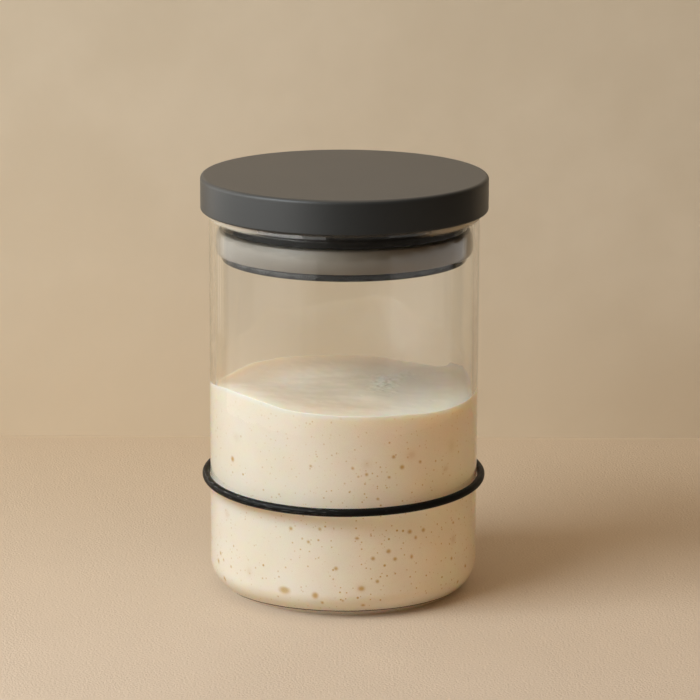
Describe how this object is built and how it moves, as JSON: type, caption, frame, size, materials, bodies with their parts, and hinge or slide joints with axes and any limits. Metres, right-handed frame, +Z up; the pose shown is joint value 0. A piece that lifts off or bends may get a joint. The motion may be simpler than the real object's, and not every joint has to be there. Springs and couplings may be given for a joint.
{
  "type": "lidded storage jar",
  "caption": "Straight-sided glass jar of sourdough starter with a push-fit lid, a silicone seal and a rubber band that marks the level.",
  "frame": {"origin": "middle of the jar's resting ring, on the surface that the jar stands on", "axes": "+Z up along the jar's axis, -Y towards the side that the picture shows"},
  "size_m": [0.1062, 0.1062, 0.1571],
  "materials": {
    "clear_glass": "gloss",
    "starter_dough": "satin",
    "black_rubber": "satin",
    "matte_grey_plastic": "matte",
    "gloss_dark_plastic": "gloss",
    "grey_silicone": "satin"
  },
  "bodies": {
    "jar": {"glass_jar": "clear_glass", "starter_culture": "starter_dough"},
    "band": {"level_band": "black_rubber"},
    "lid": {"lid_cap": "matte_grey_plastic", "lid_plug": "gloss_dark_plastic", "seal_ring": "grey_silicone"}
  },
  "joints": [
    {"name": "lid_lift", "type": "slide", "parent": "jar", "child": "lid", "axis": [0, 0, 1], "range_m": [0, 0.06]},
    {"name": "band_slide", "type": "slide", "parent": "jar", "child": "band", "axis": [0, 0, 1], "range_m": [-0.029, 0.0974]}
  ]
}
